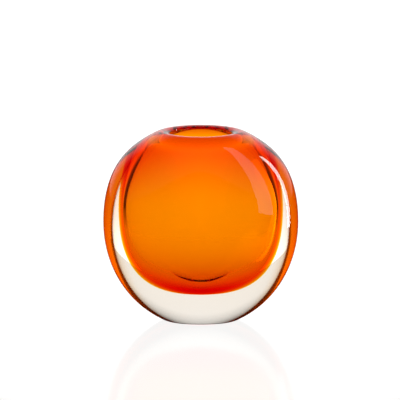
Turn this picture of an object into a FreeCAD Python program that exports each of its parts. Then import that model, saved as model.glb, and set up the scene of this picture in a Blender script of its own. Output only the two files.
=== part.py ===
import FreeCAD
import Part
import os

# Cased glass bud vase: a thick clear casing with an amber glass lining fused inside it.
# The body is a flattened pebble. Every level of it is a closed oval, wide from left to
# right (X) and narrow from front to back (Y). +Z is up and the origin is the middle of
# the foot, so the vase stands on Z = 0. All sizes are millimetres.

SIZES = [
    # the pebble outside
    ("overall_height", 122.2),
    ("body_width", 124.0),
    ("body_depth", 61.6),
    ("widest_level", 63.5),
    ("foot_width", 46.0),
    ("foot_depth", 33),
    ("foot_softening", 1.3),
    ("rim_width", 58),
    ("rim_depth", 52),
    # the mouth and the hollow inside
    ("mouth_width", 40),
    ("mouth_depth", 33),
    ("cavity_width", 90.4),
    ("cavity_depth", 48),
    ("cavity_widest_level", 72),
    ("cavity_floor_level", 23.5),
    ("cavity_floor_width", 6),
    # thickness of the amber lining at its side, its faces, its shoulder and its floor
    ("lining_side", 2.4),
    ("lining_face", 1.95),
    ("lining_shoulder", 2.6),
    ("lining_floor", 3.2),
    # levels at which the slanting walls would meet the upright ones
    ("lower_corner_level", 18.5),
    ("upper_corner_level", 99.0),
    ("cavity_corner_level", 103.5),
    # how far the mouth runs straight down before the hollow opens out
    ("throat_drop", 3.2),
]

# How full each oval outline is at its two sides and along its two faces: 0.55 for both
# gives an ellipse, a smaller side with a flatter face gives the outline of a lens.
OUTLINES = [
    ("body_side_fullness", 0.64),
    ("body_face_fullness", 0.62),
    ("rim_fullness", 0.56),
    ("cavity_side_fullness", 0.14),
    ("cavity_face_fullness", 0.47),
]

# How full each bend of the wall is: more pushes the curve into its corner.
BENDS = [
    ("foot_bend_fullness", 0.75),
    ("lower_bend_fullness", 0.86),
    ("upper_bend_fullness", 0.99),
    ("lip_bend_fullness", 0.7),
    ("throat_bend_fullness", 0.7),
    ("neck_bend_fullness", 0.85),
    ("cavity_shoulder_fullness", 0.7),
    ("cavity_floor_fullness", 1.05),
]

# How far along the straight wall between two corners one bend hands over to the next.
SHARES = [
    ("foot_share", 0.06),
    ("lip_share", 0.34),
    ("crest_share", 0.5),
    ("mouth_share", 0.5),
    ("throat_share", 0.35),
    ("neck_share", 0.4),
    ("neck_drop_share", 0.33),
]

doc = FreeCAD.newDocument("glass_bud_vase")
sheet = doc.addObject("Spreadsheet::Sheet", "sizes")
for number, (alias, value) in enumerate(SIZES + OUTLINES + BENDS + SHARES, start=1):
    sheet.set("A%d" % number, alias)
    sheet.set("B%d" % number, str(value))
    sheet.setAlias("B%d" % number, alias)
doc.recompute()


def size(alias):
    return float(sheet.get(alias))


class Oval:
    """One closed level of the glass: its half width, half depth and level, how full its
    outline is at the sides and faces, and how strongly a bend leans towards it (pull)."""

    def __init__(self, width, depth, level, outline, pull=1.0):
        self.half_width = width / 2
        self.half_depth = depth / 2
        self.level = level
        self.outline = outline
        self.pull = pull

    def towards(self, other, share, pull=1.0):
        """The oval part of the way from this one to another, with this one's outline."""
        def mix(start, end):
            return start + (end - start) * share
        return Oval(
            2 * mix(self.half_width, other.half_width),
            2 * mix(self.half_depth, other.half_depth),
            mix(self.level, other.level),
            self.outline,
            pull,
        )

    def quarter(self, side, face):
        """The four points that draw a quarter of the outline, from its side to its face.
        side and face are +1 or -1: which quarter."""
        side_fullness, face_fullness = self.outline
        shares = ((1, 0), (1, side_fullness), (face_fullness, 1), (0, 1))
        return [
            FreeCAD.Vector(
                side * across * self.half_width, face * deep * self.half_depth, self.level,
            )
            for across, deep in shares
        ]


def bend(start, corner, end):
    """The four ovals that draw a bend from start to end round the oval corner. The two
    in the middle keep the outline of the end they are next to, so one outline turns
    into the other inside the bend and the bends on both sides still meet smoothly."""
    reach = 2 * corner.pull / (1 + 2 * corner.pull)
    pull = (1 + 2 * corner.pull) / 3
    return start, start.towards(corner, reach, pull), end.towards(corner, reach, pull), end


def patch(ovals, side, face):
    """One quarter of a bend."""
    surface = Part.BezierSurface()
    surface.increase(3, 3)
    for row, oval in enumerate(ovals, start=1):
        for column, point in enumerate(oval.quarter(side, face), start=1):
            surface.setPole(row, column, point)
            surface.setWeight(row, column, oval.pull)
    return surface.toShape()


QUARTERS = ((1, 1), (-1, 1), (-1, -1), (1, -1))


def bends(corners, first, last, shares):
    """The run of bends round a list of corner ovals, from oval first to oval last.
    Each share says how far along the wall between two corners one bend hands over
    to the next, so neighbouring bends always meet tangentially."""
    joins = [first]
    for corner, following, share in zip(corners, corners[1:], shares):
        joins.append(corner.towards(following, share))
    joins.append(last)
    faces = []
    for start, corner, end in zip(joins, corners, joins[1:]):
        for side, face in QUARTERS:
            faces.append(patch(bend(start, corner, end), side, face))
    return faces


def disc(oval):
    """The flat face that fills an oval."""
    edges = []
    for side, face in QUARTERS:
        curve = Part.BezierCurve()
        curve.setPoles(oval.quarter(side, face))
        edges.append(curve.toShape())
    return Part.Face(Part.Wire(Part.__sortEdges__(edges)))


def closed_solid(faces):
    shell = Part.Shell(faces)
    shell.sewShape()
    solid = Part.Solid(Part.Shell(shell.Faces))
    if solid.Volume < 0:
        solid.reverse()
    return solid


def share_at(start, end, level):
    """How far from one oval to another a given level lies."""
    return (level - start.level) / (end.level - start.level)


height = size("overall_height")
body_outline = (size("body_side_fullness"), size("body_face_fullness"))
rim_outline = (size("rim_fullness"), size("rim_fullness"))
cavity_outline = (size("cavity_side_fullness"), size("cavity_face_fullness"))

# Corner ovals of the outside, from the foot up to the crest of the lip.
foot = Oval(size("foot_width"), size("foot_depth"), 0, body_outline, size("foot_bend_fullness"))
lower = Oval(
    size("body_width"), size("body_depth"), size("lower_corner_level"),
    body_outline, size("lower_bend_fullness"),
)
upper = Oval(
    size("body_width"), size("body_depth"), size("upper_corner_level"),
    rim_outline, size("upper_bend_fullness"),
)
rim = Oval(
    size("rim_width"), size("rim_depth"), height, rim_outline, size("lip_bend_fullness"),
)

# Corner ovals of the hollow, from the lip down to its floor.
mouth = Oval(
    size("mouth_width"), size("mouth_depth"), height, rim_outline, size("lip_bend_fullness"),
)
throat = Oval(
    size("mouth_width"), size("mouth_depth"), height - size("throat_drop"),
    rim_outline, size("throat_bend_fullness"),
)
shoulder = Oval(
    size("cavity_width"), size("cavity_depth"), size("cavity_corner_level"),
    cavity_outline, size("cavity_shoulder_fullness"),
)
floor = Oval(
    size("cavity_width"), size("cavity_depth"), size("cavity_floor_level"),
    cavity_outline, size("cavity_floor_fullness"),
)

# The fused interface: the hollow again, larger by the thickness of the lining. It starts
# at the crest of the lip and drops through the rim before it opens out.
crest = rim.towards(mouth, size("crest_share"))
fused_width = size("cavity_width") + 2 * size("lining_side")
fused_depth = size("cavity_depth") + 2 * size("lining_face")
fused_shoulder = Oval(
    fused_width, fused_depth, size("cavity_corner_level") + size("lining_shoulder"),
    cavity_outline, size("cavity_shoulder_fullness"),
)
fused_floor = Oval(
    fused_width, fused_depth, size("cavity_floor_level") - size("lining_floor"),
    cavity_outline, size("cavity_floor_fullness"),
)
neck_drop = size("neck_drop_share") * (height - fused_shoulder.level)
neck = Oval(
    2 * crest.half_width, 2 * crest.half_depth, height - neck_drop,
    rim_outline, size("neck_bend_fullness"),
)

# Flat discs: the foot the vase stands on, and the small level floors of the hollow.
foot_disc = Oval(
    size("foot_width") - 2 * size("foot_softening"),
    size("foot_depth") - 2 * size("foot_softening"),
    0, body_outline,
)
floor_disc = Oval(
    size("cavity_floor_width"),
    size("cavity_floor_width") * size("cavity_depth") / size("cavity_width"),
    size("cavity_floor_level"), cavity_outline,
)
fused_disc = Oval(
    2 * floor_disc.half_width, 2 * floor_disc.half_depth,
    fused_floor.level, cavity_outline,
)

outside = bends(
    [foot, lower, upper, rim],
    foot_disc,
    crest,
    [
        size("foot_share"),
        share_at(lower, upper, size("widest_level")),
        1 - size("lip_share"),
    ],
)
hollow = bends(
    [mouth, throat, shoulder, floor],
    crest,
    floor_disc,
    [
        size("mouth_share"),
        size("throat_share"),
        share_at(shoulder, floor, size("cavity_widest_level")),
    ],
)
interface = bends(
    [neck, fused_shoulder, fused_floor],
    crest,
    fused_disc,
    [
        size("neck_share"),
        share_at(fused_shoulder, fused_floor, size("cavity_widest_level")),
    ],
)

casing_faces = outside + interface + [disc(foot_disc), disc(fused_disc)]
lining_faces = hollow + interface + [disc(floor_disc), disc(fused_disc)]

NODES = {
    "clear_casing": casing_faces,
    "amber_lining": lining_faces,
}

parts = []
for name, faces in NODES.items():
    part = doc.addObject("Part::Feature", name)
    part.Label = name
    part.Shape = closed_solid(faces)
    part.Placement = FreeCAD.Placement()
    parts.append(part)
doc.recompute()

for item in doc.Objects:
    if "Invalid" in item.State or "Error" in item.State:
        raise SystemExit("%s did not rebuild: %s" % (item.Label, item.State))
for part in parts:
    if part.Shape.isNull() or not part.Shape.isValid():
        raise SystemExit("%s has no valid shape" % part.Label)
    print(part.Label, part.Shape.ShapeType, "volume %.0f mm3" % part.Shape.Volume,
          "box", part.Shape.BoundBox)

os.makedirs("parts", exist_ok=True)
for part in parts:
    part.Shape.exportStep("parts/%s.step" % part.Label)
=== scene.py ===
import math

import bmesh
import bpy
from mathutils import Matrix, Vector


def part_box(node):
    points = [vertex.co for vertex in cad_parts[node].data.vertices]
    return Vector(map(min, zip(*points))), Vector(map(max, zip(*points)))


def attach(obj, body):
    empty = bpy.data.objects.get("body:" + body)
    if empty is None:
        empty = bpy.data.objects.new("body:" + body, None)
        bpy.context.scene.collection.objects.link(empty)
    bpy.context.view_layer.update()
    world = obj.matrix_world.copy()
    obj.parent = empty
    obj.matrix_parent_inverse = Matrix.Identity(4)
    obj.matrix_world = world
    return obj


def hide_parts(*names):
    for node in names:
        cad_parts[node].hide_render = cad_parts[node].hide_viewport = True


# A cased glass bud vase: a thick clear casing over an amber lining, both made again here
# at a fine resolution so that light bends through them smoothly. All lengths are metres.

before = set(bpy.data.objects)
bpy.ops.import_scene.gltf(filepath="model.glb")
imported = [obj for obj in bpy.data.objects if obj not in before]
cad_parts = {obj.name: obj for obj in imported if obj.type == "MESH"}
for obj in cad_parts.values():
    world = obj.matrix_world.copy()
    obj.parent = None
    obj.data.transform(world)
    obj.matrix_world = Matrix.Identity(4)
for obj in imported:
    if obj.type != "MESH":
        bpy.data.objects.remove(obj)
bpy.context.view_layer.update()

casing_low, casing_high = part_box("clear_casing")
lining_low, lining_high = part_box("amber_lining")

# ---------------------------------------------------------------- shape of the glass

# Sizes that the CAD boxes give.
HEIGHT = casing_high[2]
BODY_WIDTH = casing_high[0] - casing_low[0]
BODY_DEPTH = casing_high[1] - casing_low[1]
FUSED_WIDTH = lining_high[0] - lining_low[0]
FUSED_DEPTH = lining_high[1] - lining_low[1]
FUSED_FLOOR = lining_low[2]

# The other sizes of the same design.
WIDEST_LEVEL = 0.0635
FOOT_WIDTH, FOOT_DEPTH, FOOT_SOFTENING = 0.046, 0.033, 0.0013
RIM_WIDTH, RIM_DEPTH = 0.058, 0.052
MOUTH_WIDTH, MOUTH_DEPTH = 0.04, 0.033
THROAT_DROP = 0.0032
CAVITY_WIDEST_LEVEL = 0.072
CAVITY_FLOOR_WIDTH = 0.006
LINING_SIDE, LINING_FACE, LINING_SHOULDER, LINING_FLOOR = 0.0024, 0.00195, 0.0026, 0.0032
LOWER_CORNER_LEVEL, UPPER_CORNER_LEVEL, CAVITY_CORNER_LEVEL = 0.0185, 0.099, 0.1035

# How full each outline is at its sides and faces (0.55 for both gives an ellipse).
BODY_OUTLINE, RIM_OUTLINE, CAVITY_OUTLINE = (0.64, 0.62), (0.56, 0.56), (0.14, 0.47)

# How full each bend of the wall is: more pushes the curve into its corner.
FOOT_BEND, LOWER_BEND, UPPER_BEND, LIP_BEND = 0.75, 0.86, 0.99, 0.7
THROAT_BEND, NECK_BEND, SHOULDER_BEND, FLOOR_BEND = 0.7, 0.85, 0.7, 1.05

# How far along the straight wall between two corners one bend hands over to the next.
FOOT_SHARE, LIP_SHARE, CREST_SHARE = 0.06, 0.34, 0.5
MOUTH_SHARE, THROAT_SHARE, NECK_SHARE = 0.5, 0.35, 0.4
NECK_DROP_SHARE = 0.33  # how far the neck drops, as a share of the way to the shoulder

STEPS_ALONG = 26  # rings in each bend
STEPS_AROUND = 56  # points in each quarter of a ring
FUSED_GAP = 0.00004  # the lining is this much slimmer, so that the two never coincide


class Oval:
    """One closed level of the glass: half width, half depth and level, the fullness of
    its outline at sides and faces, and how strongly a bend leans towards it (pull)."""

    def __init__(self, width, depth, level, outline, pull=1.0):
        self.half_width = width / 2
        self.half_depth = depth / 2
        self.level = level
        self.outline = outline
        self.pull = pull

    def towards(self, other, share, pull=1.0):
        """The oval part of the way from this one to another, with this one's outline."""
        def mix(start, end):
            return start + (end - start) * share
        return Oval(
            2 * mix(self.half_width, other.half_width),
            2 * mix(self.half_depth, other.half_depth),
            mix(self.level, other.level),
            self.outline,
            pull,
        )

    def slimmer(self, by):
        """The same oval drawn in at its sides, its faces and its level."""
        return Oval(
            2 * (self.half_width - by), 2 * (self.half_depth - by),
            self.level + by,
            self.outline,
            self.pull,
        )


def share_at(start, end, level):
    """How far from one oval to another a given level lies."""
    return (level - start.level) / (end.level - start.level)


def bend(start, corner, end):
    """The four ovals that draw a bend from start to end round the oval corner."""
    reach = 2 * corner.pull / (1 + 2 * corner.pull)
    pull = (1 + 2 * corner.pull) / 3
    return start, start.towards(corner, reach, pull), end.towards(corner, reach, pull), end


def cubic(share):
    """How much the four ovals of a bend count at a share of its way."""
    rest = 1 - share
    return rest ** 3, 3 * share * rest ** 2, 3 * share ** 2 * rest, share ** 3


def ring(ovals, share):
    """The closed ring of points a share of the way along a bend of four ovals."""
    pulls = [part * oval.pull for part, oval in zip(cubic(share), ovals)]
    whole = sum(pulls)

    def blend(measure):
        return sum(pull * measure(oval) for pull, oval in zip(pulls, ovals)) / whole

    wide = blend(lambda oval: oval.half_width)
    wide_face = blend(lambda oval: oval.half_width * oval.outline[1])
    deep = blend(lambda oval: oval.half_depth)
    deep_side = blend(lambda oval: oval.half_depth * oval.outline[0])
    level = blend(lambda oval: oval.level)
    quarter = []
    for step in range(STEPS_AROUND + 1):
        first, second, third, fourth = cubic(step / STEPS_AROUND)
        quarter.append((
            (first + second) * wide + third * wide_face,
            second * deep_side + (third + fourth) * deep,
            level,
        ))
    right_back = quarter[:-1]
    left_back = [(-x, y, z) for x, y, z in reversed(quarter[1:])]
    left_front = [(-x, -y, z) for x, y, z in quarter[:-1]]
    right_front = [(x, -y, z) for x, y, z in reversed(quarter[1:])]
    return right_back + left_back + left_front + right_front


def bend_rings(corners, first, last, shares):
    """Rings all along a run of bends, from oval first to oval last."""
    joins = [first]
    for corner, following, share in zip(corners, corners[1:], shares):
        joins.append(corner.towards(following, share))
    joins.append(last)
    rings = []
    for trio in zip(joins, corners, joins[1:]):
        ovals = bend(*trio)
        rings += [ring(ovals, step / STEPS_ALONG) for step in range(STEPS_ALONG)]
    rings.append(ring(ovals, 1))
    return rings


# The ovals of the outside, from the foot up to the crest of the lip.
foot = Oval(FOOT_WIDTH, FOOT_DEPTH, 0, BODY_OUTLINE, FOOT_BEND)
lower = Oval(BODY_WIDTH, BODY_DEPTH, LOWER_CORNER_LEVEL, BODY_OUTLINE, LOWER_BEND)
upper = Oval(BODY_WIDTH, BODY_DEPTH, UPPER_CORNER_LEVEL, RIM_OUTLINE, UPPER_BEND)
rim = Oval(RIM_WIDTH, RIM_DEPTH, HEIGHT, RIM_OUTLINE, LIP_BEND)
mouth = Oval(MOUTH_WIDTH, MOUTH_DEPTH, HEIGHT, RIM_OUTLINE, LIP_BEND)
crest = rim.towards(mouth, CREST_SHARE)

# The ovals of the hollow, from the lip down to its floor.
cavity_width = FUSED_WIDTH - 2 * LINING_SIDE
cavity_depth = FUSED_DEPTH - 2 * LINING_FACE
cavity_floor = FUSED_FLOOR + LINING_FLOOR
throat = Oval(MOUTH_WIDTH, MOUTH_DEPTH, HEIGHT - THROAT_DROP, RIM_OUTLINE, THROAT_BEND)
shoulder = Oval(
    cavity_width, cavity_depth, CAVITY_CORNER_LEVEL, CAVITY_OUTLINE, SHOULDER_BEND,
)
floor = Oval(cavity_width, cavity_depth, cavity_floor, CAVITY_OUTLINE, FLOOR_BEND)
floor_disc = Oval(
    CAVITY_FLOOR_WIDTH, CAVITY_FLOOR_WIDTH * cavity_depth / cavity_width,
    cavity_floor, CAVITY_OUTLINE,
)

# The ovals of the fused face: the hollow, larger by the thickness of the lining.
fused_shoulder = Oval(
    FUSED_WIDTH, FUSED_DEPTH, CAVITY_CORNER_LEVEL + LINING_SHOULDER,
    CAVITY_OUTLINE, SHOULDER_BEND,
)
neck = Oval(
    2 * crest.half_width, 2 * crest.half_depth,
    HEIGHT - NECK_DROP_SHARE * (HEIGHT - fused_shoulder.level), RIM_OUTLINE, NECK_BEND,
)
fused_floor = Oval(FUSED_WIDTH, FUSED_DEPTH, FUSED_FLOOR, CAVITY_OUTLINE, FLOOR_BEND)
fused_disc = Oval(
    2 * floor_disc.half_width, 2 * floor_disc.half_depth, FUSED_FLOOR, CAVITY_OUTLINE,
)
foot_disc = Oval(
    FOOT_WIDTH - 2 * FOOT_SOFTENING, FOOT_DEPTH - 2 * FOOT_SOFTENING, 0, BODY_OUTLINE,
)

outside_rings = bend_rings(
    [foot, lower, upper, rim], foot_disc, crest,
    [FOOT_SHARE, share_at(lower, upper, WIDEST_LEVEL), 1 - LIP_SHARE],
)
hollow_rings = bend_rings(
    [mouth, throat, shoulder, floor], crest, floor_disc,
    [MOUTH_SHARE, THROAT_SHARE, share_at(shoulder, floor, CAVITY_WIDEST_LEVEL)],
)


def fused_rings(by):
    """The face where the two glasses meet, from the crest of the lip downwards."""
    return bend_rings(
        [neck.slimmer(by), fused_shoulder.slimmer(by), fused_floor.slimmer(by)],
        crest, fused_disc.slimmer(by),
        [NECK_SHARE, share_at(fused_shoulder, fused_floor, CAVITY_WIDEST_LEVEL)],
    )


def glass_piece(name, skin, fused, material):
    """A closed solid with two sides that share their ring at the crest of the lip: the
    skin that meets the air, and the face fused to the other glass. The face attribute
    fused is 1 on that second side."""
    around = len(skin[0])
    points = [point for level in skin for point in level]
    points += [point for level in fused[1:] for point in level]
    start = len(skin) * around
    faces = []
    flags = []

    def band(low, high, flag):
        for place in range(around):
            beside = (place + 1) % around
            faces.append((low + place, low + beside, high + beside, high + place))
            flags.append(flag)

    def cap(first, level, flag):
        points.append((0, 0, level))
        middle = len(points) - 1
        for place in range(around):
            faces.append((middle, first + place, first + (place + 1) % around))
            flags.append(flag)

    for row in range(len(skin) - 1):
        band(row * around, (row + 1) * around, 0)
    crest_ring = (len(skin) - 1) * around
    previous = crest_ring
    for row in range(len(fused) - 1):
        band(previous, start + row * around, 1)
        previous = start + row * around
    cap(0, skin[0][0][2], 0)
    cap(previous, fused[-1][0][2], 1)

    mesh = bpy.data.meshes.new(name)
    mesh.from_pydata(points, [], faces)
    side = mesh.attributes.new("fused", "FLOAT", "FACE")
    side.data.foreach_set("value", flags)
    mesh.polygons.foreach_set("use_smooth", [True] * len(faces))
    sheet = bmesh.new()
    sheet.from_mesh(mesh)
    bmesh.ops.recalc_face_normals(sheet, faces=sheet.faces)
    sheet.edges.ensure_lookup_table()
    for edge in sheet.edges:
        if all(crest_ring <= end.index < crest_ring + around for end in edge.verts):
            edge.smooth = False
    sheet.to_mesh(mesh)
    sheet.free()
    mesh.materials.append(material)
    piece = bpy.data.objects.new(name, mesh)
    bpy.context.scene.collection.objects.link(piece)
    return piece


# ---------------------------------------------------------------- materials

GLASS_IOR = 1.5

# Each glass takes up density * (1 - tint) of red, green and blue light in a metre.
AMBER_DENSITY = 2500.0
AMBER_TINT = (0.993, 0.852, 0.0, 1.0)
CASING_DENSITY = 5.0
CASING_TINT = (0.92, 0.64, 0.2, 1.0)

WAVE_DETAIL, SCUFF_DETAIL = 1.0, 6.0
WAVE_HEIGHT = 0.001
SCUFFS_FROM, SCUFFS_FULL = 0.45, 0.75  # the noise levels where scuffs begin and are full

# The casing is worn where the foot stands, the lining where stem ends and stones lie.
CASING_FINISH = {
    "wave_scale": 38.0, "wave_strength": 0.12,
    "worn_level": 0.0022, "worn_fade": 0.0016, "scuff_scale": 900.0, "worn_roughness": 0.22,
}
LINING_FINISH = {
    "wave_scale": 60.0, "wave_strength": 0.10,
    "worn_level": 0.030, "worn_fade": 0.006, "scuff_scale": 600.0, "worn_roughness": 0.10,
}


def new_material(name):
    material = bpy.data.materials.new(name)
    material.use_nodes = True
    tree = material.node_tree
    return material, tree, tree.nodes["Principled BSDF"], tree.nodes["Material Output"]


def add_absorption(tree, output, tint, density):
    """Colour all through the body of the glass."""
    absorption = tree.nodes.new("ShaderNodeVolumeAbsorption")
    absorption.inputs["Color"].default_value = tint
    absorption.inputs["Density"].default_value = density
    tree.links.new(absorption.outputs["Volume"], output.inputs["Volume"])


def waved_normal(tree, place, finish):
    """The faint waviness of hand-blown glass, as a normal."""
    waves = tree.nodes.new("ShaderNodeTexNoise")
    waves.inputs["Scale"].default_value = finish["wave_scale"]
    waves.inputs["Detail"].default_value = WAVE_DETAIL
    tree.links.new(place, waves.inputs["Vector"])
    bump = tree.nodes.new("ShaderNodeBump")
    bump.inputs["Strength"].default_value = finish["wave_strength"]
    bump.inputs["Distance"].default_value = WAVE_HEIGHT
    tree.links.new(waves.outputs["Fac"], bump.inputs["Height"])
    return bump.outputs["Normal"]


def worn_roughness(tree, place, finish):
    """Polished all over, with fine scuffs below a level, as a number."""
    split = tree.nodes.new("ShaderNodeSeparateXYZ")
    tree.links.new(place, split.inputs[0])
    low = tree.nodes.new("ShaderNodeMapRange")
    low.inputs["From Min"].default_value = finish["worn_level"]
    low.inputs["From Max"].default_value = finish["worn_level"] - finish["worn_fade"]
    tree.links.new(split.outputs["Z"], low.inputs["Value"])
    scuffs = tree.nodes.new("ShaderNodeTexNoise")
    scuffs.inputs["Scale"].default_value = finish["scuff_scale"]
    scuffs.inputs["Detail"].default_value = SCUFF_DETAIL
    tree.links.new(place, scuffs.inputs["Vector"])
    sparse = tree.nodes.new("ShaderNodeMapRange")
    sparse.inputs["From Min"].default_value = SCUFFS_FROM
    sparse.inputs["From Max"].default_value = SCUFFS_FULL
    sparse.inputs["To Max"].default_value = finish["worn_roughness"]
    tree.links.new(scuffs.outputs["Fac"], sparse.inputs["Value"])
    wear = tree.nodes.new("ShaderNodeMath")
    wear.operation = "MULTIPLY"
    tree.links.new(low.outputs["Result"], wear.inputs[0])
    tree.links.new(sparse.outputs["Result"], wear.inputs[1])
    return wear.outputs["Value"]


def cased_glass(name, tint, density, finish):
    """Polished glass with colour in its body. Its fused side, where it meets glass of
    the same kind, neither bends light nor shines, so light goes straight through it."""
    material, tree, shader, output = new_material(name)
    place = tree.nodes.new("ShaderNodeTexCoord").outputs["Object"]
    shader.inputs["Base Color"].default_value = (1, 1, 1, 1)
    shader.inputs["Transmission Weight"].default_value = 1.0
    shader.inputs["IOR"].default_value = GLASS_IOR
    tree.links.new(waved_normal(tree, place, finish), shader.inputs["Normal"])
    tree.links.new(worn_roughness(tree, place, finish), shader.inputs["Roughness"])
    straight = tree.nodes.new("ShaderNodeBsdfTransparent")
    side = tree.nodes.new("ShaderNodeAttribute")
    side.attribute_name = "fused"
    mix = tree.nodes.new("ShaderNodeMixShader")
    tree.links.new(side.outputs["Fac"], mix.inputs[0])
    tree.links.new(shader.outputs["BSDF"], mix.inputs[1])
    tree.links.new(straight.outputs["BSDF"], mix.inputs[2])
    tree.links.new(mix.outputs["Shader"], output.inputs["Surface"])
    add_absorption(tree, output, tint, density)
    return material


casing = glass_piece(
    "casing_glass", outside_rings, fused_rings(0.0),
    cased_glass("clear_glass", CASING_TINT, CASING_DENSITY, CASING_FINISH),
)
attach(casing, "root")
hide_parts("clear_casing")

lining = glass_piece(
    "lining_glass", list(reversed(hollow_rings)), fused_rings(FUSED_GAP),
    cased_glass("amber_glass", AMBER_TINT, AMBER_DENSITY, LINING_FINISH),
)
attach(lining, "root")
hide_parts("amber_lining")

# ---------------------------------------------------------------- studio

# The room's light, a colour by turn (0 straight behind the vase, 1 behind the camera) times
# a brightness by lift (0 straight down, 0.5 level, 1 straight up).
ROOM_BY_TURN = [
    (0, (1.0, 1.0, 1.0)),
    (0.17, (1.0, 0.98, 0.95)),
    (0.26, (1.0, 0.86, 0.70)),
    (0.31, (0.8, 0.62, 0.45)),
    (0.36, (0.3, 0.2, 0.12)),
    (0.42, (0.06, 0.04, 0.03)),
    (0.74, (0.06, 0.04, 0.03)),
    (0.86, (0.16, 0.1, 0.06)),
    (1, (0.12, 0.08, 0.05)),
]
ROOM_BY_LIFT = [
    (0, 0.0), (0.495, 0.0), (0.5, 1.0), (0.58, 1.0), (0.66, 0.7), (0.73, 0.35), (0.8, 0.04),
    (1, 0.02),
]

# The table's painted light, a glow painted as a pool of light around and behind the vase: by
# turn or by distance from the vase in metres, whichever is brighter.
TABLE_PAINTED_LIGHT_BY_TURN = [
    (0, 1.0), (0.3, 0.95), (0.38, 0.1), (0.6, 0.03), (0.75, 0.03), (0.88, 0.3), (1, 0.6),
]
TABLE_PAINTED_LIGHT_BY_DISTANCE = [(0, 1.0), (0.2, 1.0), (0.34, 0.0)]
# Painted light: the table top glows though it is no lamp, and the glow hides its own dark
# colour.
TABLE_PAINTED_GLOW = 0.9
TABLE_PAINTED_GLOW_COLOR = (1.0, 0.997, 0.99, 1)
TABLE_COLOR = (0.08, 0.08, 0.08, 1)
TABLE_ROUGHNESS = 0.12
TABLE_SPECULAR = 0.4
TABLE_HALF = 6.0
TABLE_LEVEL = -0.0003  # just under the foot, so that the two never coincide

CAMERA_LIFT = 11.8  # degrees
CAMERA_DISTANCE = 2.0
CAMERA_TARGET = (-0.0005, 0, 0.0776)
SENSOR_WIDTH = 36  # millimetres
VIEW_WIDTH = 0.254  # how wide a strip the picture takes in at the vase


def calculator(tree):
    """A short way to add arithmetic nodes to a node tree."""
    def calc(operation, first, second=None):
        node = tree.nodes.new("ShaderNodeMath")
        node.operation = operation
        for socket, value in zip(node.inputs, (first, second)):
            if isinstance(value, bpy.types.NodeSocket):
                tree.links.new(value, socket)
            elif value is not None:
                socket.default_value = value
        return node.outputs[0]
    return calc


def levels(tree, position, stops):
    """A brightness or a colour along a scale from 0 to 1, from stops of place and value."""
    node = tree.nodes.new("ShaderNodeValToRGB")
    elements = node.color_ramp.elements
    while len(elements) < len(stops):
        elements.new(0.5)
    for element, (where, light) in zip(elements, stops):
        element.position = where
        element.color = light + (1,) if isinstance(light, tuple) else (light, light, light, 1)
    tree.links.new(position, node.inputs[0])
    return node.outputs[0]


def split_place(tree, source):
    """The x, y and z of a texture coordinate of the tree's own."""
    split = tree.nodes.new("ShaderNodeSeparateXYZ")
    coordinates = tree.nodes.new("ShaderNodeTexCoord")
    tree.links.new(coordinates.outputs[source], split.inputs[0])
    return split.outputs


def turn_from_behind(calc, x, y):
    """0 straight behind the object, 1 at the camera, from a position or direction."""
    return calc("DIVIDE", calc("ABSOLUTE", calc("ARCTAN2", x, y)), math.pi)


def studio_floor():
    """A dark table top with a slight gloss and a painted pale glow: evenly bright near the
    object and behind it, falling into painted shade far out at both sides."""
    half = TABLE_HALF
    mesh = bpy.data.meshes.new("floor")
    mesh.from_pydata(
        [(-half, -half, 0), (half, -half, 0), (half, half, 0), (-half, half, 0)],
        [], [(0, 1, 2, 3)],
    )
    table = bpy.data.objects.new("floor", mesh)
    table.location.z = TABLE_LEVEL
    bpy.context.scene.collection.objects.link(table)
    material, tree, shader, _ = new_material("table_painted_glow")
    calc = calculator(tree)
    x, y, _ = split_place(tree, "Object")
    painted_light_by_turn = levels(tree, turn_from_behind(calc, x, y), TABLE_PAINTED_LIGHT_BY_TURN)
    distance = calc("SQRT", calc("ADD", calc("MULTIPLY", x, x), calc("MULTIPLY", y, y)))
    painted_light_by_distance = levels(tree, distance, TABLE_PAINTED_LIGHT_BY_DISTANCE)
    # Painted light: the glow is bright behind and near the vase and dim in front and at the
    # sides.
    painted_glow = calc("MULTIPLY", calc("MAXIMUM", painted_light_by_distance, painted_light_by_turn), TABLE_PAINTED_GLOW)
    tree.links.new(painted_glow, shader.inputs["Emission Strength"])
    shader.inputs["Emission Color"].default_value = TABLE_PAINTED_GLOW_COLOR
    shader.inputs["Base Color"].default_value = TABLE_COLOR
    shader.inputs["Roughness"].default_value = TABLE_ROUGHNESS
    shader.inputs["Specular IOR Level"].default_value = TABLE_SPECULAR
    mesh.materials.append(material)
    table.visible_glossy = False


def studio_world():
    """Soft light by direction: bright behind the object, dim at the sides, nearly dark
    overhead and on the camera's side, as in a room round a lit backdrop."""
    world = bpy.data.worlds.new("studio")
    bpy.context.scene.world = world
    world.use_nodes = True
    tree = world.node_tree
    background = tree.nodes["Background"]
    calc = calculator(tree)
    x, y, z = split_place(tree, "Generated")
    lift = calc("ADD", calc("DIVIDE", calc("ARCSINE", z), math.pi), 0.5)
    tree.links.new(levels(tree, lift, ROOM_BY_LIFT), background.inputs["Strength"])
    turn = turn_from_behind(calc, x, y)
    tree.links.new(levels(tree, turn, ROOM_BY_TURN), background.inputs["Color"])


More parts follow.
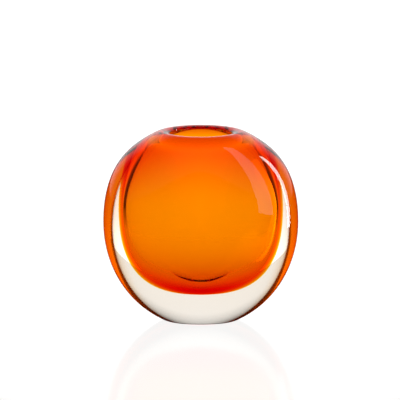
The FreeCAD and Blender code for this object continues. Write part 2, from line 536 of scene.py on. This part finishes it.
def soft_panel(name, turn, low, high, distance, width, radiance):
    """An upright rectangular lamp at a turn round from behind the object (degrees),
    reaching from one lift to another (degrees), facing the object."""
    angle = math.radians(turn)
    bottom = distance * math.tan(math.radians(low))
    top = distance * math.tan(math.radians(high))
    tall = top - bottom
    middle = Vector((
        distance * math.sin(angle),
        distance * math.cos(angle),
        WIDEST_LEVEL + (top + bottom) / 2,
    ))
    lamp = bpy.data.lights.new(name, "AREA")
    lamp.shape = "RECTANGLE"
    lamp.size = width
    lamp.size_y = tall
    lamp.energy = radiance * math.pi * width * tall
    panel = bpy.data.objects.new(name, lamp)
    panel.location = middle
    facing = Vector((-math.sin(angle), -math.cos(angle), 0))
    panel.rotation_mode = "QUATERNION"
    panel.rotation_quaternion = facing.to_track_quat("-Z", "Y")
    panel.visible_camera = False
    panel.visible_transmission = False
    bpy.context.scene.collection.objects.link(panel)


def camera():
    """Looks slightly down at the front of the vase through a long lens."""
    lift = math.radians(CAMERA_LIFT)
    target = Vector(CAMERA_TARGET)
    view = bpy.data.cameras.new("camera")
    view.sensor_width = SENSOR_WIDTH
    view.lens = view.sensor_width * CAMERA_DISTANCE / VIEW_WIDTH
    view.clip_start = 0.01
    eye = bpy.data.objects.new("camera", view)
    eye.location = target + CAMERA_DISTANCE * Vector((0, -math.cos(lift), math.sin(lift)))
    eye.rotation_mode = "QUATERNION"
    eye.rotation_quaternion = (target - eye.location).to_track_quat("-Z", "Y")
    bpy.context.scene.collection.objects.link(eye)
    bpy.context.scene.camera = eye


studio_floor()
studio_world()
soft_panel("strip_lamp", turn=88, low=-12, high=36, distance=0.9, width=0.18, radiance=12.0)
soft_panel("front_lamp", turn=134, low=-6, high=43, distance=1.1, width=0.36, radiance=1.2)
camera()

scene = bpy.context.scene
scene.view_settings.view_transform = "Standard"
# Light passes through many faces of glass before it reaches the camera.
scene.cycles.transmission_bounces = 24
scene.cycles.glossy_bounces = 12
scene.cycles.max_bounces = 32
scene.cycles.transparent_max_bounces = 32
